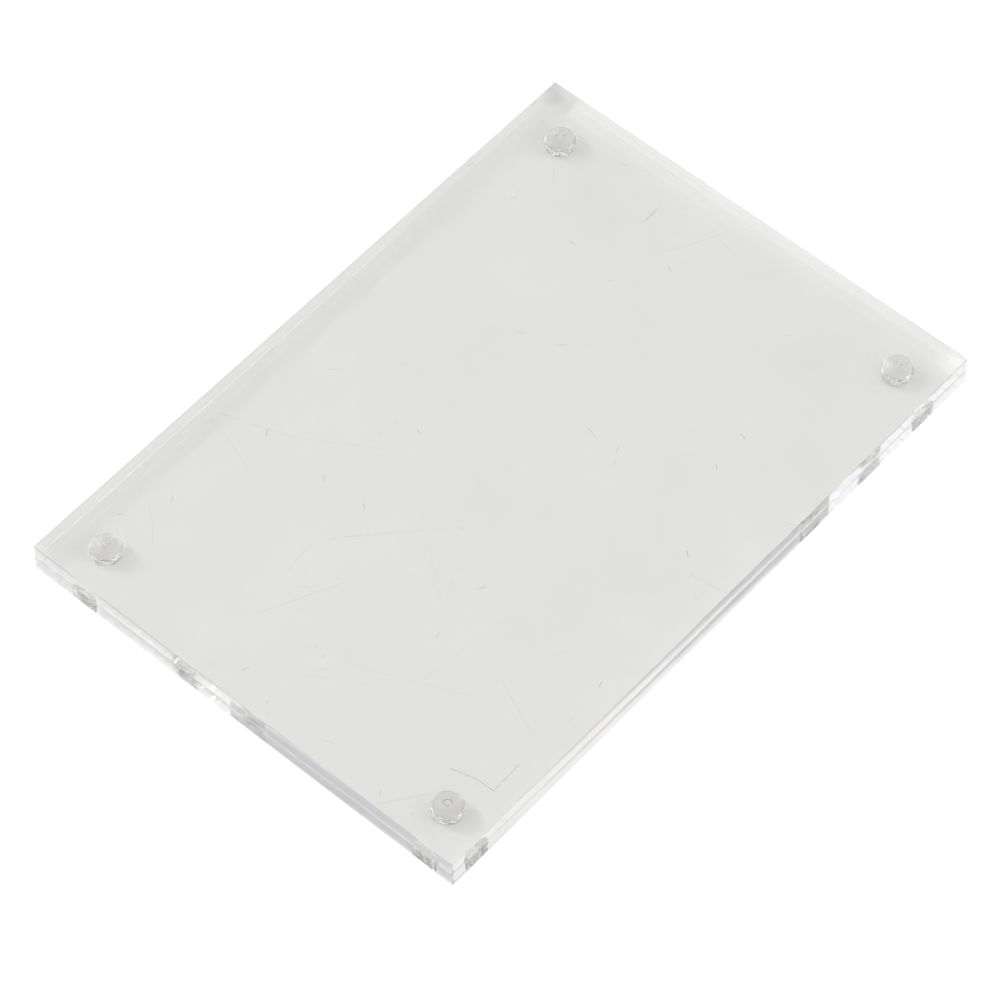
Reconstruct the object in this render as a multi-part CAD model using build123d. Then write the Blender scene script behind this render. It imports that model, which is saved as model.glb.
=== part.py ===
from build123d import *
import math
import os

# Clear acrylic block frame: two plates held face to face by four clear dowel pins.
# A print lies between the plates, and the front plate pulls off the pins to change it.
# The frame lies on its back: X across the short side, Y along the long side, Z up
# through the thickness. The origin is the middle of the back face. Millimetres.

# Plates
PLATE_WIDTH = 90.0
PLATE_HEIGHT = 128.0
BACK_THICKNESS = 3.0
FRONT_THICKNESS = 3.0
PRINT_GAP = 0.1
EDGE_ARRIS = 0.15

# Dowel pins
PIN_DIAMETER = 5.0
PIN_INSET = 8.2
PIN_LEAD_IN = 0.2

# Sockets: flat-bottomed in the back plate, drilled with a pointed bit in the front plate.
# Each skin is the acrylic left between the deepest point of a socket and the outer face.
BACK_SKIN = 0.8
FRONT_SKIN = 0.76
DRILL_POINT_ANGLE = 135.0
SOCKET_MOUTH_CHAMFER = 0.2

# Fits
PUSH_FIT_CLEARANCE = 0.05
PIN_END_CLEARANCE = 0.1

# Heights and radii that follow from the sizes above
back_face_top = BACK_THICKNESS
front_face_bottom = back_face_top + PRINT_GAP
pin_radius = PIN_DIAMETER / 2
push_radius = pin_radius + PUSH_FIT_CLEARANCE
drill_point_height = push_radius / math.tan(math.radians(DRILL_POINT_ANGLE / 2))
drill_point_tip = front_face_bottom + FRONT_THICKNESS - FRONT_SKIN
drill_point_rim = drill_point_tip - drill_point_height
pin_bottom = BACK_SKIN
pin_top = drill_point_rim - PIN_END_CLEARANCE

# Corner of the frame to the side that it lies on, along X and along Y
CORNERS = {
    "top_left": (-1, 1),
    "top_right": (1, 1),
    "bottom_left": (-1, -1),
    "bottom_right": (1, -1),
}


def corner_place(corner):
    """Place of the pin's axis at one corner of the frame."""
    side_x, side_y = CORNERS[corner]
    return Pos(side_x * (PLATE_WIDTH / 2 - PIN_INSET), side_y * (PLATE_HEIGHT / 2 - PIN_INSET), 0)


def turned(*profile):
    """Solid of revolution about Z, from points (radius, height) round its half section."""
    outline = Polyline(*[(radius, 0, height) for radius, height in profile], close=True)
    return revolve(make_face(outline), Axis.Z)


def plate_blank(thickness, underside):
    """Flat plate with a small arris on every edge."""
    align = (Align.CENTER, Align.CENTER, Align.MIN)
    blank = Pos(0, 0, underside) * Box(PLATE_WIDTH, PLATE_HEIGHT, thickness, align=align)
    return chamfer(blank.edges(), EDGE_ARRIS)


def back_socket():
    """Cutter for a flat-bottomed socket, open at the back plate's inner face."""
    return turned(
        (0, pin_bottom),
        (pin_radius, pin_bottom),
        (pin_radius, back_face_top - SOCKET_MOUTH_CHAMFER),
        (pin_radius + SOCKET_MOUTH_CHAMFER, back_face_top),
        (0, back_face_top),
    )


def front_socket():
    """Cutter for a drilled socket with a pointed end, open at the front plate's inner face."""
    return turned(
        (0, front_face_bottom),
        (push_radius + SOCKET_MOUTH_CHAMFER, front_face_bottom),
        (push_radius, front_face_bottom + SOCKET_MOUTH_CHAMFER),
        (push_radius, drill_point_rim),
        (0, drill_point_tip),
    )


def dowel_pin():
    """Round pin with a lead-in chamfer at each end, pressed into the back plate's socket."""
    return turned(
        (0, pin_bottom),
        (pin_radius - PIN_LEAD_IN, pin_bottom),
        (pin_radius, pin_bottom + PIN_LEAD_IN),
        (pin_radius, pin_top - PIN_LEAD_IN),
        (pin_radius - PIN_LEAD_IN, pin_top),
        (0, pin_top),
    )


def at_corners(shape):
    """One copy of a shape at each corner's pin axis."""
    return [corner_place(corner) * shape for corner in CORNERS]


pieces = {
    "back_plate": plate_blank(BACK_THICKNESS, 0) - at_corners(back_socket()),
    "front_plate": plate_blank(FRONT_THICKNESS, front_face_bottom) - at_corners(front_socket()),
}
for corner in CORNERS:
    pieces[f"pin_{corner}"] = corner_place(corner) * dowel_pin()

os.makedirs("parts", exist_ok=True)
for name, piece in pieces.items():
    piece.label = name
    export_step(piece, f"parts/{name}.step")
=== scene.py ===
"""Looks of a clear acrylic block frame, laid out as an add-on and run as a script.

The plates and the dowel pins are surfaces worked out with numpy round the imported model, in metres.
"""

import math

import bmesh
import bpy
import numpy as np
from bpy.props import FloatProperty, FloatVectorProperty, PointerProperty
from bpy.types import Operator, Panel, PropertyGroup
from mathutils import Matrix, Vector


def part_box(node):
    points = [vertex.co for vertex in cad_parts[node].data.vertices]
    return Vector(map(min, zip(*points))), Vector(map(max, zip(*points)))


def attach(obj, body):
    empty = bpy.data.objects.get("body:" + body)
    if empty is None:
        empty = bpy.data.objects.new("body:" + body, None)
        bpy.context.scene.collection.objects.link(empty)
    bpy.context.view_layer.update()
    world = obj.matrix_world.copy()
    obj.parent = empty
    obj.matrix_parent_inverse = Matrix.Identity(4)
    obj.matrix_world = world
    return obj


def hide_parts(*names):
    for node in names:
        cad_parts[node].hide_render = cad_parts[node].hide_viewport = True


bl_info = {
    "name": "Acrylic Block Frame",
    "version": (1, 0, 0),
    "blender": (4, 5, 0),
    "location": "View3D > Sidebar > Block Frame",
    "description": "Dresses a clear acrylic block frame: two plates on four dowel pins",
    "category": "Object",
}

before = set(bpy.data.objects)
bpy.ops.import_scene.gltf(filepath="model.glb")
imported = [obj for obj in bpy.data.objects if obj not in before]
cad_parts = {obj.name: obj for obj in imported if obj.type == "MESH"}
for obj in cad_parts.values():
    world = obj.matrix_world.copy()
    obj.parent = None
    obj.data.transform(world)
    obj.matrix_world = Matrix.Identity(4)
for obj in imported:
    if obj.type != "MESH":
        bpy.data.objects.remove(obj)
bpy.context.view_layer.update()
MM = 0.001
WELD = 1e-8
SHARP_ANGLE = math.radians(14)

# Steps of the plates: along a cell's side, round an outer corner, over an arris and across a face's ring
SIDE_STEPS = 32
CORNER_STEPS = 4
ARRIS_STEPS = 2
RING_STEPS = 3
TURN_STEPS = 4 * SIDE_STEPS + CORNER_STEPS

# Steps of the sockets: down a mouth, along a wall, round its corner, over a pointed end and over a floor
MOUTH_STEPS = 3
WALL_STEPS = 40
ARC_STEPS = 8
POINT_STEPS = 96
FLOOR_STEPS = 40

# Steps of the pins: over the lower end, over a lead-in, along the wall and over the upper end
PIN_FLOOR_STEPS = 24
LEAD_STEPS = 3
PIN_WALL_STEPS = 30
PIN_TOP_STEPS = 40

# How a face's rings crowd towards a mouth
RING_CROWDING = 1.5

# Smallest radius of an upright corner
SHARP_CORNER = 0.01 * MM

# Finishes, in the order of a plate's material slots
FACE, SHEET, EDGE, BORED, DRILLED = range(5)

# Radius of the hole left at the middle of a turned face before it is closed
EYE = 0.03 * MM

# Radii where the bit's web and its tip burnished a drilled end: the ring's two edges, then the pip
BURNISHED = (0.8 * MM, 0.42 * MM, 0.2 * MM)

# Waves of a bored wall: their number, range of turns, most climbs along the wall, and least weight
WAVES = 14
WAVE_TURNS = (2, 17)
WAVE_CLIMBS = 5
WAVE_LEAST = 0.4

# First random seed of the front plate's walls and of the back plate's
FRONT_SEED = 40
BACK_SEED = 80

# Height of the faint rings on a faced floor or end, and the width over which they fade at its rim
FACED_RING = 0.004 * MM
FACED_FADE = 0.3 * MM

# Heights where smears on a bored wall start, are full, are full for the last time, and end
FRONT_SMEAR = (3.15 * MM, 3.3 * MM, 4.05 * MM, 4.2 * MM)
BACK_SMEAR = (0.9 * MM, 1.1 * MM, 2.8 * MM, 2.95 * MM)

# Each pin, with the sides of the frame that it lies on along X and along Y
PINS = {
    "pin_top_left": (-1, 1),
    "pin_top_right": (1, 1),
    "pin_bottom_left": (-1, -1),
    "pin_bottom_right": (1, -1),
}

# Nicks in the front plate's sockets: angle from the outer X side, and depth
NICKS = {"pin_top_left": (math.radians(-1), 0.3 * MM), "pin_top_right": (math.radians(30), 0.38 * MM)}

# Scratches on the front face: start, end, width and strength, in millimetres
SCRATCHES = (
    ((33.4, -51.1), (37.8, -49.9), 0.17, 0.8),
    ((37.8, -49.9), (41.0, -49.8), 0.17, 0.8),
    ((41.0, -49.8), (40.8, -43.7), 0.15, 0.75),
    ((29.2, -63.2), (34.3, -56.0), 0.16, 0.28),
    ((-13.7, 50.9), (-13.8, 55.2), 0.16, 0.75),
    ((-42.1, -25.7), (-27.5, -20.5), 0.16, 0.22),
    ((-27.5, -20.5), (-13.1, -11.3), 0.16, 0.18),
    ((-11.2, -32.7), (-3.0, -23.8), 0.18, 0.24),
    ((-3.0, -23.8), (4.5, -15.9), 0.16, 0.14),
    ((-8.9, -49.4), (-2.6, -36.2), 0.16, 0.22),
    ((-10.7, -41.5), (-11.6, -35.8), 0.15, 0.18),
    ((-5.0, -16.3), (12.0, -29.3), 0.15, 0.12),
    ((8.6, -47.3), (27.4, -38.8), 0.15, 0.14),
    ((19.0, -42.4), (21.3, -25.4), 0.15, 0.12),
    ((27.9, -33.4), (37.9, -37.7), 0.15, 0.2),
    ((4.2, -48.8), (4.21, -48.8), 0.55, 0.4),
)


class FrameSizes(PropertyGroup):
    """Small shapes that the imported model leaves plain."""

    front_arris: FloatProperty(
        name="Front arris", description="Radius of the eased edge round the front face",
        default=0.1 * MM, unit="LENGTH", precision=5)
    seam_arris: FloatProperty(
        name="Seam arris", description="Radius of the eased edge round the back plate's inner face",
        default=0.06 * MM, unit="LENGTH", precision=5)
    fine_arris: FloatProperty(
        name="Fine arris", description="Radius of the other eased edges",
        default=0.02 * MM, unit="LENGTH", precision=5)
    corner: FloatProperty(
        name="Corner", description="Radius of each plate's upright corner",
        default=0.06 * MM, unit="LENGTH", precision=5)
    lean: FloatProperty(
        name="Lean", description="How far each sawn edge leans in at its foot",
        default=0.02 * MM, unit="LENGTH", precision=5)
    mouth: FloatProperty(
        name="Socket mouth", description="Width of the eased mouth of a socket",
        default=0.2 * MM, unit="LENGTH", precision=5)
    push_fit: FloatProperty(
        name="Push fit", description="Air between a pin and the front plate's socket, on the radius",
        default=0.05 * MM, unit="LENGTH", precision=5)
    air_film: FloatProperty(
        name="Air film", description="Air between a pin and the back plate's socket, on the radius",
        default=0.03 * MM, unit="LENGTH", precision=5)
    drill_corner: FloatProperty(
        name="Drill corner", description="Radius that the tool's corner leaves round the end of a socket",
        default=0.18 * MM, unit="LENGTH", precision=5)
    drill_angle: FloatProperty(
        name="Drill angle", description="Point angle of the bit that drilled the front plate",
        default=math.radians(135), subtype="ANGLE")
    front_skin: FloatProperty(
        name="Front skin", description="Acrylic left over the tip of a drilled socket",
        default=0.76 * MM, unit="LENGTH", precision=5)
    ring_pitch: FloatProperty(
        name="Ring pitch", description="Spacing of the rings that the bit left on the socket's end",
        default=0.36 * MM, unit="LENGTH", precision=5)
    ring_height: FloatProperty(
        name="Ring height", description="Height of those rings",
        default=0.009 * MM, unit="LENGTH", precision=5)
    chatter: FloatProperty(
        name="Chatter", description="Waviness of a socket's wall, on the radius",
        default=0.02 * MM, unit="LENGTH", precision=5)


class FrameFinish(PropertyGroup):
    """Colours and finish of the acrylic."""

    sheet_color: FloatVectorProperty(
        name="Sheet", description="Tint of the clear sheet", subtype="COLOR", size=3,
        min=0, max=1, default=(1.0, 1.0, 0.998))
    mark_color: FloatVectorProperty(
        name="Marks", description="Tint where a hairline scratch or dust takes light away",
        subtype="COLOR", size=3, min=0, max=1, default=(0.7, 0.7, 0.69))
    drilled_color: FloatVectorProperty(
        name="Drilled", description="Tint of the drilled ends", subtype="COLOR", size=3,
        min=0, max=1, default=(0.93, 0.92, 0.9))
    bored_color: FloatVectorProperty(
        name="Bored", description="Colour of the smeared patches of a bored wall", subtype="COLOR", size=3,
        min=0, max=1, default=(0.76, 0.75, 0.73))
    # Darkest smears: partly tears in the wall, partly painted shade, a dark colour standing in for the
    # dark look that a bored wall shows through the acrylic
    tear_and_shade_color: FloatVectorProperty(
        name="Tears and shade", description="Colour of the darkest smears", subtype="COLOR", size=3,
        min=0, max=1, default=(0.26, 0.255, 0.245))
    pin_color: FloatVectorProperty(
        name="Pin", description="Tint of the pins", subtype="COLOR", size=3,
        min=0, max=1, default=(0.96, 0.955, 0.94))
    edge_haze: FloatProperty(
        name="Edge haze", description="Roughness of the polished edges", default=0.06, subtype="FACTOR")
    bored_haze: FloatProperty(
        name="Bored haze", description="Roughness of the bored walls", default=0.3, subtype="FACTOR")
    drilled_haze: FloatProperty(
        name="Drilled haze", description="Roughness of the drilled ends", default=0.45, subtype="FACTOR")
    drilled_clear: FloatProperty(
        name="Drilled clear",
        description="Share of the light at a drilled end that passes and isn't scattered",
        default=0.55, subtype="FACTOR")
    pin_haze: FloatProperty(
        name="Pin haze", description="Roughness of the pins", default=0.06, subtype="FACTOR")
    acrylic_index: FloatProperty(
        name="Index", description="Refractive index of the acrylic", default=1.491)
    dispersion: FloatProperty(
        name="Dispersion", description="Gap in refractive index between cool light and warm light",
        default=0.006)


class FrameStage(PropertyGroup):
    """Floor, light and camera."""

    floor_color: FloatVectorProperty(
        name="Floor", description="Colour of the table top", subtype="COLOR", size=3,
        min=0, max=1, default=(0.808, 0.808, 0.78))
    room_color: FloatVectorProperty(
        name="Room", description="Colour of the room's soft light", subtype="COLOR", size=3,
        min=0, max=1, default=(0.53, 0.53, 0.555))
    white_share: FloatProperty(
        name="White share", description="Share of plain white in what the camera sees of the floor",
        default=0.7, subtype="FACTOR")
    glass_share: FloatProperty(
        name="White in glass", description="Share of that white in what glass and gloss show of the floor",
        default=0.1, subtype="FACTOR")
    white_level: FloatProperty(
        name="White level", description="Strength of that white", default=1.16)
    low_distance: FloatProperty(
        name="Low distance", description="Distance of each low lamp", default=1.5, unit="LENGTH")
    low_height: FloatProperty(
        name="Low elevation", description="Elevation of the low lamps",
        default=math.radians(28), subtype="ANGLE")
    low_turn: FloatProperty(
        name="Low turn", description="Turn of the low lamps from the camera's left and right",
        default=math.radians(-20), subtype="ANGLE")
    low_size: FloatProperty(
        name="Low size", description="Side of each low lamp", default=0.5, unit="LENGTH")
    low_left: FloatProperty(
        name="Low left", description="Power of the low lamp on the camera's left",
        default=12.6, unit="POWER")
    low_right: FloatProperty(
        name="Low right", description="Power of the low lamp on the camera's right",
        default=4.6, unit="POWER")
    high_height: FloatProperty(
        name="High elevation", description="Elevation of the high lamps",
        default=math.radians(60), subtype="ANGLE")
    high_distance: FloatProperty(
        name="High distance", description="Distance of each high lamp", default=0.75, unit="LENGTH")
    high_size: FloatProperty(
        name="High size", description="Side of each high lamp", default=0.8, unit="LENGTH")
    high_left: FloatProperty(
        name="High left", description="Power of the high lamp on the camera's left",
        default=1.0, unit="POWER")
    high_right: FloatProperty(
        name="High right", description="Power of the high lamp on the camera's right",
        default=0.85, unit="POWER")
    azimuth: FloatProperty(
        name="Azimuth", description="Camera's turn about the frame, from the front towards +X",
        default=math.radians(41.661), subtype="ANGLE")
    elevation: FloatProperty(
        name="Elevation", description="Camera's height angle",
        default=math.radians(55.331), subtype="ANGLE")
    distance: FloatProperty(
        name="Distance", description="Camera to the point it looks at", default=0.7769, unit="LENGTH")
    roll: FloatProperty(
        name="Roll", description="Camera's turn about its own axis",
        default=math.radians(-0.467), subtype="ANGLE")
    target: FloatVectorProperty(
        name="Target", description="Point that the camera looks at", size=3, subtype="XYZ",
        default=(5.67 * MM, -7.94 * MM, 6.1 * MM))
    lens: FloatProperty(
        name="Lens", description="Focal length on a 36 mm sensor", default=172.97, unit="CAMERA")


def grid_quads(grid, closed=False):
    """Corner points of a surface grid's quads (rows, columns, 3), closed along its columns if asked."""
    after = np.roll(grid, -1, axis=1) if closed else grid[:, 1:]
    before = grid if closed else grid[:, :-1]
    quads = np.stack([before[:-1], after[:-1], after[1:], before[1:]], axis=2)
    return quads.reshape(-1, 4, 3)


def flat(points, height):
    """Points in the plane at one height."""
    return np.concatenate([points, np.full((*points.shape[:-1], 1), height)], axis=-1)


def piece_from_patches(name, patches):
    """Object from patches (quads or one polygon's points, material slot), welded where points meet."""
    corners = [quads.reshape(-1, 3) for quads, _ in patches]
    points = np.concatenate(corners)
    keys = np.round(points / WELD).astype(np.int64)
    _, first, index = np.unique(keys, axis=0, return_index=True, return_inverse=True)
    index = index.reshape(-1)
    faces, slots, start = [], [], 0
    for (quads, slot), own in zip(patches, corners):
        part = index[start:start + len(own)]
        start += len(own)
        rows = part.reshape(quads.shape[:-1]) if quads.ndim == 3 else part.reshape(1, -1)
        faces += rows.tolist()
        slots += [slot] * len(rows)
    mesh = bpy.data.meshes.new(name)
    mesh.from_pydata(points[first], [], faces)
    mesh.polygons.foreach_set("material_index", slots)
    if mesh.validate():
        raise RuntimeError(f"{name} has faces that Blender had to mend")
    shell = bmesh.new()
    shell.from_mesh(mesh)
    if any(not edge.is_manifold for edge in shell.edges):
        raise RuntimeError(f"{name} is not closed")
    bmesh.ops.recalc_face_normals(shell, faces=shell.faces)
    shell.to_mesh(mesh)
    shell.free()
    mesh.shade_smooth()
    mesh.set_sharp_from_angle(angle=SHARP_ANGLE)
    piece = bpy.data.objects.new(name, mesh)
    bpy.context.scene.collection.objects.link(piece)
    return piece


class PlateOutline:
    """Outline of a plate and the square cell round each pin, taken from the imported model."""

    def __init__(self, node, top_arris, bottom_arris, inner_arris, corner, lean):
        low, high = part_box(node)
        self.half = np.array([high.x - low.x, high.y - low.y]) / 2
        self.bottom, self.top = low.z, high.z
        self.pin = pin_axis("pin_top_right")
        self.top_arris, self.bottom_arris = top_arris, bottom_arris
        self.inner_arris, self.corner, self.lean = inner_arris, corner, lean
        self.cell_low = 2 * self.pin - (self.half - inner_arris)

    def corner_run(self, offset):
        """Outline at the (+, +) corner, inset by offset: up the side, round the arc, along the top."""
        radius = max(self.corner - offset, SHARP_CORNER)
        arc_centre = self.half - offset - radius
        up = np.linspace(self.cell_low[1], arc_centre[1], SIDE_STEPS + 1)
        along = np.linspace(arc_centre[0], self.cell_low[0], SIDE_STEPS + 1)
        turn = np.linspace(0, np.pi / 2, CORNER_STEPS + 1)[1:-1]
        arc = arc_centre + radius * np.stack([np.cos(turn), np.sin(turn)], axis=1)
        side = np.stack([np.full_like(up, self.half[0] - offset), up], axis=1)
        top = np.stack([along, np.full_like(along, self.half[1] - offset)], axis=1)
        return np.concatenate([side, arc, top])

    def loop(self, offset):
        """The whole outline, inset by offset: the corner's run, mirrored to the other three corners."""
        run = self.corner_run(offset)
        back = run[::-1]
        return np.concatenate([run, back * (-1, 1), run * (-1, -1), back * (1, -1)])

    def cell_border(self):
        """Border of the (+, +) cell: the corner's run, then the two sides that face the plate's middle."""
        run = self.corner_run(self.inner_arris)
        steps = np.linspace(0, 1, SIDE_STEPS + 1)[1:, None]
        inner = run[-1] + steps * (self.cell_low - run[-1])
        lower = self.cell_low + steps[:-1] * (run[0] - self.cell_low)
        return np.concatenate([run, inner, lower])


def pin_axis(node):
    """Place of a pin's axis in X and Y."""
    low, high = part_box(node)
    return np.array([low.x + high.x, low.y + high.y]) / 2


def pin_size():
    """Radius of a pin, and the heights of its ends."""
    low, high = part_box("pin_top_right")
    return (high.x - low.x) / 2, low.z, high.z


def turn_angles():
    """Angles round a pin's axis that pair with the points of its cell's border, as one row."""
    return (-np.pi / 4 + 2 * np.pi * np.arange(TURN_STEPS) / TURN_STEPS)[None, :]


def mirrored(points, signs):
    """Points of the (+, +) corner carried to the corner with these signs."""
    return points * (*signs, 1)


def edge_band(outline):
    """Rim of a plate: an eased arris, the edge, which leans in a little, and another eased arris."""
    turn = np.linspace(0, np.pi / 2, ARRIS_STEPS + 1)
    inset, drop = 1 - np.sin(turn), 1 - np.cos(turn)
    insets = np.concatenate([outline.top_arris * inset, outline.lean + outline.bottom_arris * inset[::-1]])
    heights = np.concatenate([
        outline.top - outline.top_arris * drop,
        outline.bottom + outline.bottom_arris * drop[::-1],
    ])
    grid = np.stack([flat(outline.loop(i), z) for i, z in zip(insets, heights)])
    return grid_quads(grid, closed=True)


def holed_face(outline, height, mouth_radius):
    """Flat face with a round mouth in each corner cell, as rings from the mouth to the cell's border.

    Strips join the cells along the plate's sides, and one quad fills the middle.
    """
    border = outline.cell_border()
    angle = turn_angles()[0]
    circle = outline.pin + mouth_radius * np.stack([np.cos(angle), np.sin(angle)], axis=1)
    share = np.linspace(0, 1, RING_STEPS + 1)[:, None, None] ** RING_CROWDING
    rings = flat(circle + share * (border - circle), height)
    cell = grid_quads(rings, closed=True)
    patches = [mirrored(cell, signs) for signs in PINS.values()]
    run = outline.corner_run(outline.inner_arris)
    low = outline.cell_low
    end = np.concatenate([run[-1:], border[len(run):len(run) + SIDE_STEPS]])
    side = np.concatenate([border[len(run) + SIDE_STEPS - 1:], run[:1]])
    for sign in (1, -1):
        across = flat(np.stack([end * (1, sign), end * (-1, sign)]), height)
        along = flat(np.stack([side * (sign, 1), side * (sign, -1)]), height)
        patches += [grid_quads(across), grid_quads(along)]
    middle = np.array([low, low * (-1, 1), -low, low * (1, -1)])
    patches.append(flat(middle, height)[None])
    return np.concatenate(patches)


def smoothstep(value):
    """Rise from 0 to 1 with flat ends."""
    value = np.clip(value, 0, 1)
    return value * value * (3 - 2 * value)


def chatter(angle, height, seed, reach):
    """Waviness left on a bored wall: a sum of random waves round the wall and along it, about -1 to 1.

    Each wave has a whole number of turns, so the wall closes on itself. reach is the wall's height.
    """
    rng = np.random.default_rng(seed)
    turns = rng.integers(*WAVE_TURNS, WAVES)[:, None, None]
    climbs = rng.uniform(-WAVE_CLIMBS, WAVE_CLIMBS, WAVES)[:, None, None] / reach
    phase = rng.uniform(0, 2 * np.pi, WAVES)[:, None, None]
    weight = rng.uniform(WAVE_LEAST, 1, WAVES)[:, None, None]
    waves = weight * np.cos(turns * angle + 2 * np.pi * climbs * height + phase)
    return waves.sum(axis=0) / np.sqrt((weight ** 2).sum() * 2)


def nick_depth(angle, height, middle, nick):
    """Depth of a nick in a wall: a round dent about an angle and a height, flat at its border."""
    turn, depth = nick
    width, wall_radius = 0.4 * MM, 2.5 * MM
    sideways = (np.angle(np.exp(1j * (angle - turn))) * wall_radius / width) ** 2
    upright = ((height - middle) / width) ** 2
    return depth * np.clip(1 - sideways - upright, 0, 1) ** 2


def lathed(radius, height, centre):
    """Surface of revolution: rows follow a half section (radius, height), columns go round the axis."""
    angle = turn_angles()
    radius = radius + 0 * angle
    ring = np.stack([radius * np.cos(angle), radius * np.sin(angle)], axis=-1)
    return np.concatenate([np.array(centre) + ring, (height + 0 * angle)[..., None]], axis=-1)


def profile_rows(*runs):
    """Rows of a half section from runs ((radius, height), (radius, height), steps), end to end."""
    rows = [np.array([runs[0][0]])]
    for start, end, steps in runs:
        share = np.linspace(0, 1, steps + 1)[1:, None]
        rows.append(np.array(start) + share * (np.array(end) - np.array(start)))
    rows = np.concatenate(rows)
    return rows[:, :1], rows[:, 1:]


def corner_arc(centre, radius, start, end, steps):
    """Rows of an arc in a half section, about a centre (radius, height), between two angles."""
    turn = np.linspace(start, end, steps + 1)[:, None]
    return centre[0] + radius * np.cos(turn), centre[1] + radius * np.sin(turn)


def drill_end(radius, wall_radius, start, sizes):
    """Rise of the socket's pointed end above its rim, at a radius, from the corner's end at start inwards.

    A cone with the bit's rings on it. Inside the bit's web it flattens, with a step round it and a pip
    in the middle.
    """
    slope = 1 / math.tan(sizes.drill_angle / 2)
    web = 0.55 * MM
    web_slope = 0.4 * slope
    step_radius, step_height = 0.6 * MM, 0.2 * MM
    pip_radius, pip_height = 0.22 * MM, 0.08 * MM
    riser = 0.12 * MM
    outer_fade, inner_fade = 0.4 * MM, 0.3 * MM
    cone = slope * (wall_radius - np.maximum(radius, web)) + web_slope * np.maximum(web - radius, 0)
    rings = sizes.ring_height * np.cos(2 * np.pi * radius / sizes.ring_pitch)
    rings = rings * smoothstep((start - radius) / outer_fade) * smoothstep((radius - web) / inner_fade)
    step = step_height * smoothstep((step_radius - radius) / riser)
    pip = pip_height * smoothstep((pip_radius - radius) / riser)
    return cone + rings + step + pip


def end_bands(end):
    """Bands of a socket's end, from its rim inwards, with their slots.

    The end is frosted, but clear in the web's ring and at the pip.
    """
    radius, height = end
    cuts = [0, *(np.argmax(radius < edge) for edge in BURNISHED), len(radius) - 1]
    slots = [DRILLED, SHEET] * 2
    spans = zip(cuts, cuts[1:], slots)
    return [((radius[a:b + 1], height[a:b + 1]), slot) for a, b, slot in spans]


def sockets(outline, sizes, wall_radius, opening, wall_start, arc, ends, first_seed, nicks):
    """Four sockets from one half section, mirrored to the corners, with the radius of their mouths.

    Each has an eased mouth, a wavy wall, a rounded corner and an end in bands.
    """
    mouth_radius = wall_radius + sizes.mouth
    wall_end = arc[1][0][0]
    mouth = profile_rows(((mouth_radius, opening), (wall_radius, wall_start), MOUTH_STEPS))
    wall = profile_rows(((wall_radius, wall_start), (wall_radius, wall_end), WALL_STEPS))
    reach = wall_end - wall_start
    share = (wall[1] - wall_start) / reach
    mouth_fade, end_fade, nick_share = 5, 6, 0.65
    fade = smoothstep(share * mouth_fade) * smoothstep((1 - share) * end_fade)
    middle = wall_start + nick_share * reach
    deepest = -0.5 * sizes.air_film
    patches = []
    for number, (node, signs) in enumerate(PINS.items()):
        wave = sizes.chatter * fade * chatter(turn_angles(), wall[1], first_seed + number, abs(reach))
        wave = np.maximum(wave, deepest)
        if node in nicks:
            wave = wave + fade * nick_depth(turn_angles(), wall[1], middle, nicks[node])
        turned = [(mouth, BORED), ((wall[0] + wave, wall[1]), BORED), (arc, DRILLED), *ends]
        for (radius, height), slot in turned:
            grid = lathed(radius, height, outline.pin)
            patches.append((mirrored(grid_quads(grid, closed=True), signs), slot))
        patches.append((mirrored(grid[-1], signs), slot))
    return mouth_radius, patches


def front_sockets(outline, sizes, pin_radius):
    """Drilled sockets of the front plate: eased mouth, wavy wall and pointed end with the bit's rings."""
    wall_radius = pin_radius + sizes.push_fit
    rise = math.pi / 2 - sizes.drill_angle / 2
    tip = outline.top - sizes.front_skin
    rim = tip - wall_radius * math.tan(rise)
    corner = sizes.drill_corner
    reach = corner * math.tan((math.pi / 2 - rise) / 2)
    arc = corner_arc((wall_radius - corner, rim - reach), corner, 0, math.pi / 2 - rise, ARC_STEPS)
    start = arc[0][-1][0]
    radius, _ = profile_rows(((start, 0), (EYE, 0), POINT_STEPS))
    end = radius, rim + drill_end(radius, wall_radius, start, sizes)
    wall_start = outline.bottom + sizes.mouth
    ends = end_bands(end)
    return sockets(outline, sizes, wall_radius, outline.bottom, wall_start, arc, ends, FRONT_SEED, NICKS)


def back_sockets(outline, sizes, pin_radius, floor):
    """Flat-bottomed sockets of the back plate: eased mouth, wavy wall and floor with faint rings."""
    sharper = 0.6
    corner = sharper * sizes.drill_corner
    arc = corner_arc((pin_radius - corner, floor + corner), corner, 0, -math.pi / 2, ARC_STEPS)
    radius, height = profile_rows(((pin_radius - corner, floor), (EYE, floor), FLOOR_STEPS))
    rings = FACED_RING * np.abs(np.cos(2 * np.pi * radius / sizes.ring_pitch))
    end = radius, height - rings * smoothstep((pin_radius - corner - radius) / FACED_FADE)
    wall_start = outline.top - sizes.mouth
    ends = [(end, DRILLED)]
    return sockets(outline, sizes, pin_radius, outline.top, wall_start, arc, ends, BACK_SEED, {})


def dowel_pin(node, sizes):
    """Round pin from a lathed half section: plain wall, lead-in chamfers and faint rings on its top."""
    radius, bottom, top = pin_size()
    radius -= sizes.air_film
    bottom += 0.5 * sizes.air_film
    lead = 0.2 * MM
    across, height = profile_rows(
        ((EYE, bottom), (radius - lead, bottom), PIN_FLOOR_STEPS),
        ((radius - lead, bottom), (radius, bottom + lead), LEAD_STEPS),
        ((radius, bottom + lead), (radius, top - lead), PIN_WALL_STEPS),
        ((radius, top - lead), (radius - lead, top), LEAD_STEPS),
        ((radius - lead, top), (EYE, top), PIN_TOP_STEPS),
    )
    rings = FACED_RING * (1 + np.cos(2 * np.pi * across / sizes.ring_pitch))
    on_top = height >= top - WELD
    height = height - rings * on_top * smoothstep((radius - lead - across) / FACED_FADE)
    grid = lathed(across, height, pin_axis(node))
    patches = [(grid_quads(grid, closed=True), 0), (grid[0], 0), (grid[-1], 0)]
    return piece_from_patches(f"{node}_clear", patches)


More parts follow.
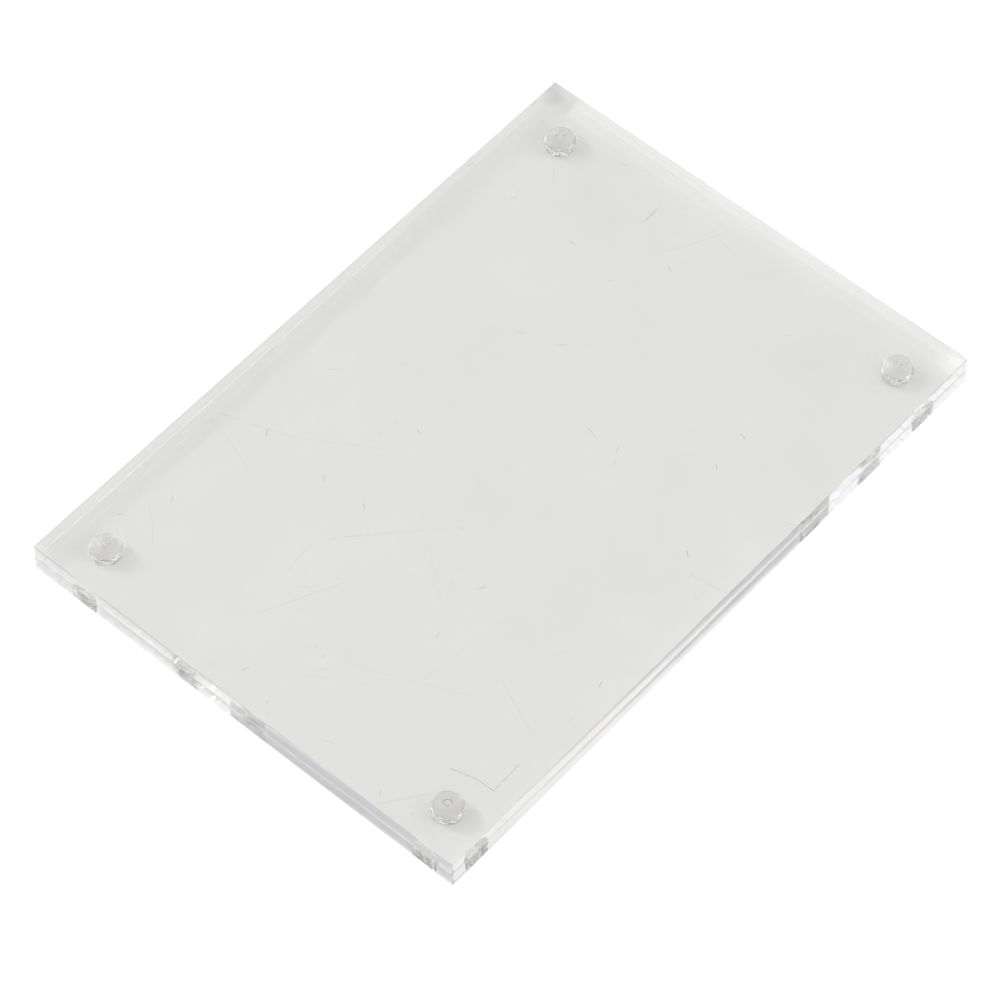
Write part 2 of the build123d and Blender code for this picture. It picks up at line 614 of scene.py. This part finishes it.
def empty_tree(material):
    """Empty node tree of a material, with its output."""
    material.use_nodes = True
    tree = material.node_tree
    tree.nodes.clear()
    return tree, tree.nodes.new("ShaderNodeOutputMaterial")


def feed(tree, sockets_and_values):
    """Links or sets inputs, from pairs of an input and a socket or plain value."""
    for socket, value in sockets_and_values:
        if isinstance(value, bpy.types.NodeSocket):
            tree.links.new(value, socket)
        elif value is not None:
            socket.default_value = value


def calc(tree, operation, first, second=None, clamp=False):
    """Output of a math node. An argument is a number or a socket."""
    node = tree.nodes.new("ShaderNodeMath")
    node.operation = operation
    node.use_clamp = clamp
    feed(tree, zip(node.inputs, (first, second)))
    return node.outputs[0]


def vector_calc(tree, operation, first, second):
    """Output of a vector math node. An argument is a vector or a socket."""
    node = tree.nodes.new("ShaderNodeVectorMath")
    node.operation = operation
    feed(tree, zip(node.inputs, (first, second)))
    return node.outputs["Value" if operation in {"DOT_PRODUCT", "DISTANCE"} else "Vector"]


def object_place(tree, scale):
    """Object coordinates times a scale on each axis."""
    coordinates = tree.nodes.new("ShaderNodeTexCoord")
    return vector_calc(tree, "MULTIPLY", coordinates.outputs["Object"], scale)


def noise(tree, scale):
    """Value of a noise pattern, about 0 to 1, at Object coordinates times a scale on each axis."""
    place = object_place(tree, scale)
    node = tree.nodes.new("ShaderNodeTexNoise")
    inputs = node.inputs
    feed(tree, ((inputs["Vector"], place), (inputs["Scale"], 1.0), (inputs["Detail"], 2.0)))
    return node.outputs[0]


def eased(tree, value, low, high):
    """Smooth rise from 0 to 1 as a value goes from low to high."""
    node = tree.nodes.new("ShaderNodeMapRange")
    node.interpolation_type = "SMOOTHSTEP"
    feed(tree, zip(node.inputs, (value, low, high, 0.0, 1.0)))
    return node.outputs[0]


def patchy(tree, scale, low, high):
    """Mask of soft patches: none where the noise is at low, and full where it is at high."""
    return eased(tree, noise(tree, scale), low, high)


def strongest(tree, masks):
    """The largest of several masks."""
    result = masks[0]
    for mask in masks[1:]:
        result = calc(tree, "MAXIMUM", result, mask)
    return result


def blend(tree, factor, first, second):
    """Mix of two colours. A colour is three numbers or a socket."""
    node = tree.nodes.new("ShaderNodeMix")
    node.data_type = "RGBA"
    colors = [c if isinstance(c, bpy.types.NodeSocket) else (*c, 1) for c in (first, second)]
    inputs = node.inputs
    feed(tree, ((inputs["Factor"], factor), (inputs["A"], colors[0]), (inputs["B"], colors[1])))
    return node.outputs["Result"]


def cells(tree, size, offset):
    """Random cells of about a size: place from a cell's middle, distance from it, and random values.

    Both lengths are in cell sizes.
    """
    place = vector_calc(tree, "ADD", object_place(tree, (1 / size, 1 / size, 0)), (offset, offset, 0))
    node = tree.nodes.new("ShaderNodeTexVoronoi")
    node.voronoi_dimensions = "2D"
    feed(tree, ((node.inputs["Vector"], place), (node.inputs["Scale"], 1.0)))
    split = tree.nodes.new("ShaderNodeSeparateColor")
    tree.links.new(node.outputs["Color"], split.inputs[0])
    local = vector_calc(tree, "SUBTRACT", place, node.outputs["Position"])
    return local, node.outputs["Distance"], split.outputs


def hairs(tree, size, offset, keep, length, width, bend):
    """Mask of fine hairs, one bent stroke in some cells, each turned its own way.

    keep is the share of cells that have one.
    """
    local, _, (turn, pick, tone) = cells(tree, size, offset)
    spin = tree.nodes.new("ShaderNodeVectorRotate")
    spin.rotation_type = "Z_AXIS"
    angle = calc(tree, "MULTIPLY", turn, 2 * math.pi)
    feed(tree, ((spin.inputs["Vector"], local), (spin.inputs["Angle"], angle)))
    split = tree.nodes.new("ShaderNodeSeparateXYZ")
    tree.links.new(spin.outputs[0], split.inputs[0])
    along, across = split.outputs[0], split.outputs[1]
    curve = calc(tree, "MULTIPLY", calc(tree, "MULTIPLY", along, along), bend)
    off = calc(tree, "ABSOLUTE", calc(tree, "SUBTRACT", across, curve))
    stroke = calc(tree, "SUBTRACT", 1.0, calc(tree, "DIVIDE", off, width / size), clamp=True)
    inside = calc(tree, "LESS_THAN", calc(tree, "ABSOLUTE", along), 0.5 * length / size)
    chosen = calc(tree, "LESS_THAN", pick, keep)
    shown = calc(tree, "MULTIPLY", inside, chosen)
    return calc(tree, "MULTIPLY", calc(tree, "MULTIPLY", stroke, tone), shown)


def specks(tree, size, offset, keep, radius):
    """Mask of round specks, one in some cells, each of its own strength.

    keep is the share of cells that have one.
    """
    _, distance, (_, pick, tone) = cells(tree, size, offset)
    dot = calc(tree, "SUBTRACT", 1.0, calc(tree, "DIVIDE", distance, radius / size), clamp=True)
    return calc(tree, "MULTIPLY", calc(tree, "MULTIPLY", dot, tone), calc(tree, "LESS_THAN", pick, keep))


def scratch(tree, place, start, end, width, strength):
    """Mask of one straight scratch: strongest on the line from start to end, none at width from it."""
    start = Vector((*start, 0))
    run = Vector((*end, 0)) - start
    from_start = vector_calc(tree, "SUBTRACT", place, start)
    share = vector_calc(tree, "DOT_PRODUCT", from_start, run / run.length_squared)
    nearest = vector_calc(tree, "MULTIPLY", calc(tree, "ADD", share, 0.0, clamp=True), run)
    distance = vector_calc(tree, "DISTANCE", from_start, nearest)
    fall = calc(tree, "MULTIPLY", distance, strength / width)
    return calc(tree, "SUBTRACT", strength, fall, clamp=True)


def handled_marks(tree, offset):
    """Mask of the marks of handling all over a face: fine hairs, faint hairlines and specks of dust."""
    line_strength, dust_strength = 0.2, 0.12
    fluff = hairs(tree, 9 * MM, offset + 3.7, keep=0.22, length=1.3 * MM, width=0.1 * MM, bend=2.5)
    lines = hairs(tree, 24 * MM, offset + 8.1, keep=0.5, length=14 * MM, width=0.12 * MM, bend=0.3)
    grit = specks(tree, 6 * MM, offset + 1.3, keep=0.3, radius=0.16 * MM)
    dust = specks(tree, 13 * MM, offset + 5.9, keep=0.3, radius=0.6 * MM)
    return strongest(tree, [
        fluff,
        calc(tree, "MULTIPLY", lines, line_strength),
        grit,
        calc(tree, "MULTIPLY", dust, dust_strength),
    ])


def scratched_marks(tree):
    """Mask of the front face's own scratches, broken up along their length."""
    place = object_place(tree, (1 / MM, 1 / MM, 0))
    lines = strongest(tree, [scratch(tree, place, *line) for line in SCRATCHES])
    broken = patchy(tree, (1.2 / MM, 1.2 / MM, 0), 0.3, 0.6)
    return calc(tree, "MULTIPLY", lines, broken)


def acrylic(name, index):
    """Material of clear acrylic, with its tree and its shader's inputs.

    index is the refractive index.
    """
    material = bpy.data.materials.new(name)
    tree, output = empty_tree(material)
    shader = tree.nodes.new("ShaderNodeBsdfPrincipled")
    tree.links.new(shader.outputs["BSDF"], output.inputs["Surface"])
    shader.inputs["IOR"].default_value = index
    shader.inputs["Transmission Weight"].default_value = 1.0
    return material, tree, shader.inputs


def mix_shaders(tree, factor, first, second):
    """Output of a node that mixes two shaders."""
    node = tree.nodes.new("ShaderNodeMixShader")
    feed(tree, zip(node.inputs, (factor, first, second)))
    return node.outputs[0]


def refraction(tree, index, tint, haze):
    """Output of a shader that bends light through the surface."""
    node = tree.nodes.new("ShaderNodeBsdfRefraction")
    inputs = node.inputs
    feed(tree, ((inputs["IOR"], index), (inputs["Color"], tint), (inputs["Roughness"], haze)))
    return node.outputs[0]


def fringed_refraction(tree, index, dispersion, tint, haze):
    """Output of a shader that bends cool light a little more than warm light."""
    shades = []
    shift = 0.3
    for side in (-1, 1):
        color = (tint[0] * (1 - shift * side), tint[1], tint[2] * (1 + shift * side), 1)
        shades.append(refraction(tree, index + side * dispersion / 2, color, haze))
    return mix_shaders(tree, 0.5, *shades)


def polish(tree, index, through, haze):
    """Polished surface: light passes or is mirrored, in the shares that Fresnel's law gives."""
    mirror = tree.nodes.new("ShaderNodeBsdfGlossy")
    fresnel = tree.nodes.new("ShaderNodeFresnel")
    feed(tree, (
        (mirror.inputs["Color"], (1, 1, 1, 1)),
        (mirror.inputs["Roughness"], haze),
        (fresnel.inputs["IOR"], index),
        (tree.nodes["Material Output"].inputs["Surface"],
         mix_shaders(tree, fresnel.outputs[0], through, mirror.outputs[0])),
    ))


def outer_face(finish, scratched):
    """Polished outer face: marks of handling take a little light. The front face is scratched too."""
    material = bpy.data.materials.new("outer face")
    tree, _ = empty_tree(material)
    marks = handled_marks(tree, 0.0 if scratched else 31.0)
    if scratched:
        marks = calc(tree, "MAXIMUM", marks, scratched_marks(tree))
    tint = blend(tree, marks, finish.sheet_color, finish.mark_color)
    mark_haze = 0.2
    haze = calc(tree, "MULTIPLY", marks, mark_haze)
    polish(tree, finish.acrylic_index, refraction(tree, finish.acrylic_index, tint, haze), haze)
    return material


def inner_face(finish):
    """Polished inner face, which the other plate keeps clean: only a faint cloud in the tint."""
    material = bpy.data.materials.new("inner face")
    tree, _ = empty_tree(material)
    cloud = patchy(tree, (0.05 / MM, 0.05 / MM, 0), 0.3, 0.7)
    smoke = 0.007
    smoky = [(1 - smoke) * c for c in finish.sheet_color]
    tint = blend(tree, cloud, finish.sheet_color, smoky)
    polish(tree, finish.acrylic_index, refraction(tree, finish.acrylic_index, tint, 0.0), 0.0)
    return material


def edge_acrylic(finish):
    """Polished edge: a faint haze that comes and goes slowly along the plate."""
    material = bpy.data.materials.new("polished edge")
    tree, _ = empty_tree(material)
    cloud = noise(tree, (0.06 / MM, 0.06 / MM, 0))
    haze = calc(tree, "MULTIPLY", calc(tree, "ADD", cloud, 0.5), finish.edge_haze)
    through = fringed_refraction(tree, finish.acrylic_index, finish.dispersion, finish.sheet_color, haze)
    polish(tree, finish.acrylic_index, through, haze)
    return material


def height_band(tree, height, start, full, last_full, end):
    """Mask of a band of heights: rises from start to full, and falls from last_full to end."""
    return calc(tree, "MULTIPLY", eased(tree, height, start, full), eased(tree, height, end, last_full))


def bored_acrylic(finish):
    """Bored wall: clear in places and smeared in others, where the smear scatters light. Its darkest
    smears are partly tears and partly painted shade, a dark colour for the dark look of the wall.
    """
    material, tree, inputs = acrylic("bored wall", finish.acrylic_index)
    patches = patchy(tree, (1.8 / MM, 1.8 / MM, 2.2 / MM), 0.45, 0.58)
    split = tree.nodes.new("ShaderNodeSeparateXYZ")
    tree.links.new(object_place(tree, (1, 1, 1)), split.inputs[0])
    front = height_band(tree, split.outputs[2], *FRONT_SMEAR)
    back = height_band(tree, split.outputs[2], *BACK_SMEAR)
    smear = calc(tree, "MULTIPLY", patches, calc(tree, "ADD", front, back))
    clear = calc(tree, "SUBTRACT", 1.0, smear)
    # Darkest smears: partly tears, partly painted shade standing in for the dark look of the wall
    tears_and_shade = patchy(tree, (2.6 / MM, 2.6 / MM, 3.4 / MM), 0.38, 0.6)
    smeared = blend(tree, tears_and_shade, finish.bored_color, finish.tear_and_shade_color)
    feed(tree, (
        (inputs["Base Color"], blend(tree, smear, finish.sheet_color, smeared)),
        (inputs["Roughness"], calc(tree, "MULTIPLY", calc(tree, "ADD", smear, 0.6), finish.bored_haze)),
        (inputs["Transmission Weight"], clear),
    ))
    return material


def drilled_acrylic(finish):
    """Drilled end: an even frost that scatters part of the light, with a faint mottle."""
    material, tree, inputs = acrylic("drilled end", finish.acrylic_index)
    mottle = patchy(tree, (0.6 / MM, 0.6 / MM, 0.6 / MM), 0.25, 0.75)
    least, spread, fading = 0.75, 0.5, 0.4
    share = calc(tree, "ADD", calc(tree, "MULTIPLY", mottle, spread), least)
    haze = calc(tree, "MULTIPLY", share, finish.drilled_haze)
    pale = [1 - fading * (1 - c) for c in finish.drilled_color]
    feed(tree, (
        (inputs["Base Color"], blend(tree, mottle, finish.drilled_color, pale)),
        (inputs["Roughness"], haze),
        (inputs["Transmission Weight"], finish.drilled_clear),
    ))
    return material


def rod_acrylic(finish):
    """Pin cut from clear rod: a light tint, hazed unevenly."""
    material, tree, inputs = acrylic("clear rod", finish.acrylic_index)
    cloud = patchy(tree, (1.2 / MM, 1.2 / MM, 0.6 / MM), 0.2, 0.8)
    haze = calc(tree, "MULTIPLY", cloud, 2 * finish.pin_haze)
    feed(tree, ((inputs["Base Color"], (*finish.pin_color, 1)), (inputs["Roughness"], haze)))
    return material


def dress_plate(piece, finish, scratched):
    """Materials of a plate: outer face, inner face, polished edges, bored walls and drilled ends."""
    for material in (
        outer_face(finish, scratched),
        inner_face(finish),
        edge_acrylic(finish),
        bored_acrylic(finish),
        drilled_acrylic(finish),
    ):
        piece.data.materials.append(material)


def place_piece(piece, node, body):
    """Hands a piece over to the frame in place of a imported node."""
    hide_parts(node)
    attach(piece, body)


class BLOCKFRAME_OT_front_plate(Operator):
    """Make the front plate, with its drilled sockets"""

    bl_idname = "blockframe.front_plate"
    bl_label = "Front Plate"

    def execute(self, context):
        sizes = context.scene.block_sizes
        inner = sizes.fine_arris + sizes.lean
        outline = PlateOutline(
            "front_plate", sizes.front_arris, sizes.fine_arris, inner, sizes.corner, sizes.lean)
        mouth_radius, socket_patches = front_sockets(outline, sizes, pin_size()[0])
        piece = piece_from_patches("front_plate_clear", [
            (flat(outline.loop(outline.top_arris), outline.top), FACE),
            (edge_band(outline), EDGE),
            (holed_face(outline, outline.bottom, mouth_radius), SHEET),
            *socket_patches,
        ])
        dress_plate(piece, context.scene.block_finish, True)
        place_piece(piece, "front_plate", "front")
        return {"FINISHED"}


class BLOCKFRAME_OT_back_plate(Operator):
    """Make the back plate, with its flat-bottomed sockets"""

    bl_idname = "blockframe.back_plate"
    bl_label = "Back Plate"

    def execute(self, context):
        sizes = context.scene.block_sizes
        outline = PlateOutline(
            "back_plate", sizes.seam_arris, sizes.fine_arris, sizes.seam_arris, sizes.corner, sizes.lean)
        pin_radius, pin_bottom, _ = pin_size()
        mouth_radius, socket_patches = back_sockets(outline, sizes, pin_radius, pin_bottom)
        piece = piece_from_patches("back_plate_clear", [
            (flat(outline.loop(outline.bottom_arris + outline.lean), outline.bottom), FACE),
            (edge_band(outline), EDGE),
            (holed_face(outline, outline.top, mouth_radius), SHEET),
            *socket_patches,
        ])
        dress_plate(piece, context.scene.block_finish, False)
        place_piece(piece, "back_plate", "back")
        return {"FINISHED"}


class BLOCKFRAME_OT_dowel_pins(Operator):
    """Make the four clear dowel pins"""

    bl_idname = "blockframe.dowel_pins"
    bl_label = "Dowel Pins"

    def execute(self, context):
        rod = rod_acrylic(context.scene.block_finish)
        for node in PINS:
            piece = dowel_pin(node, context.scene.block_sizes)
            piece.data.materials.append(rod)
            place_piece(piece, node, "back")
        return {"FINISHED"}


class BLOCKFRAME_OT_stage(Operator):
    """Make the floor, the light and the camera"""

    bl_idname = "blockframe.stage"
    bl_label = "Stage"

    def execute(self, context):
        stage = context.scene.block_stage
        make_floor(stage)
        make_room(context.scene, stage)
        make_lamps(stage)
        make_camera(context.scene, stage)
        set_light_paths(context.scene)
        return {"FINISHED"}


def make_floor(stage):
    """Pale table top just under the frame. For the camera it shows white and keeps the frame's shadow."""
    half, drop = 2.0, 0.02 * MM
    corners = flat(half * np.array([(-1, -1), (1, -1), (1, 1), (-1, 1)]), -drop)
    mesh = bpy.data.meshes.new("floor")
    mesh.from_pydata(corners, [], [(0, 1, 2, 3)])
    floor = bpy.data.objects.new("floor", mesh)
    bpy.context.scene.collection.objects.link(floor)
    material = bpy.data.materials.new("table top")
    tree, output = empty_tree(material)
    paper = tree.nodes.new("ShaderNodeBsdfDiffuse")
    paper.inputs["Color"].default_value = (*stage.floor_color, 1)
    white = tree.nodes.new("ShaderNodeEmission")
    path = tree.nodes.new("ShaderNodeLightPath").outputs
    in_glass = calc(tree, "MAXIMUM", path["Is Transmission Ray"], path["Is Glossy Ray"])
    share = calc(tree, "MAXIMUM", calc(tree, "MULTIPLY", path["Is Camera Ray"], stage.white_share),
                 calc(tree, "MULTIPLY", in_glass, stage.glass_share))
    either = tree.nodes.new("ShaderNodeMixShader")
    feed(tree, (
        (white.inputs["Strength"], stage.white_level),
        (either.inputs[0], share),
        (either.inputs[1], paper.outputs[0]),
        (either.inputs[2], white.outputs[0]),
        (output.inputs["Surface"], either.outputs[0]),
    ))
    mesh.materials.append(material)


def make_room(scene, stage):
    """Soft light from all round."""
    world = bpy.data.worlds.new("room")
    world.use_nodes = True
    tree = world.node_tree
    tree.nodes.clear()
    output = tree.nodes.new("ShaderNodeOutputWorld")
    room = tree.nodes.new("ShaderNodeBackground")
    room.inputs["Color"].default_value = (*stage.room_color, 1)
    tree.links.new(room.outputs[0], output.inputs["Surface"])
    scene.world = world


def new_lamp(name, power, size, place, color):
    """Soft square lamp that faces the middle of the frame."""
    lamp = bpy.data.lights.new(name, "AREA")
    lamp.shape = "SQUARE"
    lamp.size = size
    lamp.energy = power
    lamp.color = color
    holder = bpy.data.objects.new(name, lamp)
    holder.location = place
    holder.rotation_euler = Vector(place).to_track_quat("Z", "Y").to_euler()
    bpy.context.scene.collection.objects.link(holder)


def make_lamps(stage):
    """A low and a high soft lamp on the camera's left, and the same on its right.

    The low lamps stand far off and a little turned, so that few views show them mirrored in a face.
    """
    cool, warm = (0.97, 0.98, 1.0), (1.0, 0.985, 0.95)
    low = stage.azimuth + stage.low_turn, stage.low_height, stage.low_distance, stage.low_size
    high = stage.azimuth, stage.high_height, stage.high_distance, stage.high_size
    for name, side, place, power, color in (
        ("low left", -1, low, stage.low_left, cool),
        ("low right", 1, low, stage.low_right, warm),
        ("high left", -1, high, stage.high_left, cool),
        ("high right", 1, high, stage.high_right, warm),
    ):
        heading, height, distance, size = place
        out = side * math.cos(height)
        toward = Vector((out * math.cos(heading), out * math.sin(heading), math.sin(height)))
        new_lamp(name, power, size, toward * distance, color)


def make_camera(scene, stage):
    """Camera on a long lens, placed by azimuth, elevation and distance from its target."""
    flat_reach = math.cos(stage.elevation)
    toward = Vector((
        math.sin(stage.azimuth) * flat_reach,
        -math.cos(stage.azimuth) * flat_reach,
        math.sin(stage.elevation),
    ))
    right = Vector((math.cos(stage.azimuth), math.sin(stage.azimuth), 0))
    upright = toward.cross(right)
    right, upright = (
        math.cos(stage.roll) * right + math.sin(stage.roll) * upright,
        math.cos(stage.roll) * upright - math.sin(stage.roll) * right,
    )
    turn = Matrix((right, upright, toward)).transposed()
    camera = bpy.data.cameras.new("camera")
    camera.lens = stage.lens
    camera.sensor_width = 36.0
    camera.clip_end = 20.0
    holder = bpy.data.objects.new("camera", camera)
    holder.matrix_world = Matrix.LocRotScale(Vector(stage.target) + toward * stage.distance, turn, None)
    scene.collection.objects.link(holder)
    scene.camera = holder


def set_light_paths(scene):
    """Enough bounces for light that runs along inside a plate from edge to edge."""
    scene.view_settings.view_transform = "Standard"
    cycles = scene.cycles
    cycles.max_bounces = 96
    cycles.glossy_bounces = 96
    cycles.transmission_bounces = 48
    cycles.blur_glossy = 0.0


STEPS = (
    BLOCKFRAME_OT_back_plate,
    BLOCKFRAME_OT_front_plate,
    BLOCKFRAME_OT_dowel_pins,
    BLOCKFRAME_OT_stage,
)
GROUPS = {"block_sizes": FrameSizes, "block_finish": FrameFinish, "block_stage": FrameStage}


class BLOCKFRAME_PT_panel(Panel):
    """Sidebar panel of the frame"""

    bl_label = "Block Frame"
    bl_idname = "BLOCKFRAME_PT_panel"
    bl_space_type = "VIEW_3D"
    bl_region_type = "UI"
    bl_category = "Block Frame"

    def draw(self, context):
        for step in STEPS:
            self.layout.operator(step.bl_idname)
        for group in GROUPS:
            settings = getattr(context.scene, group)
            for prop in settings.bl_rna.properties:
                if prop.identifier not in {"rna_type", "name"}:
                    self.layout.prop(settings, prop.identifier)


def register():
    """Registers the settings, the operators and the panel."""
    for group in (*GROUPS.values(), *STEPS, BLOCKFRAME_PT_panel):
        bpy.utils.register_class(group)
    for name, group in GROUPS.items():
        setattr(bpy.types.Scene, name, PointerProperty(type=group))


def unregister():
    """Takes away what register added."""
    for name in GROUPS:
        delattr(bpy.types.Scene, name)
    for group in (BLOCKFRAME_PT_panel, *STEPS[::-1], *GROUPS.values()):
        bpy.utils.unregister_class(group)


def main():
    """Registers the add-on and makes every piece."""
    register()
    bpy.ops.blockframe.back_plate()
    bpy.ops.blockframe.front_plate()
    bpy.ops.blockframe.dowel_pins()
    bpy.ops.blockframe.stage()


if __name__ == "__main__":
    main()
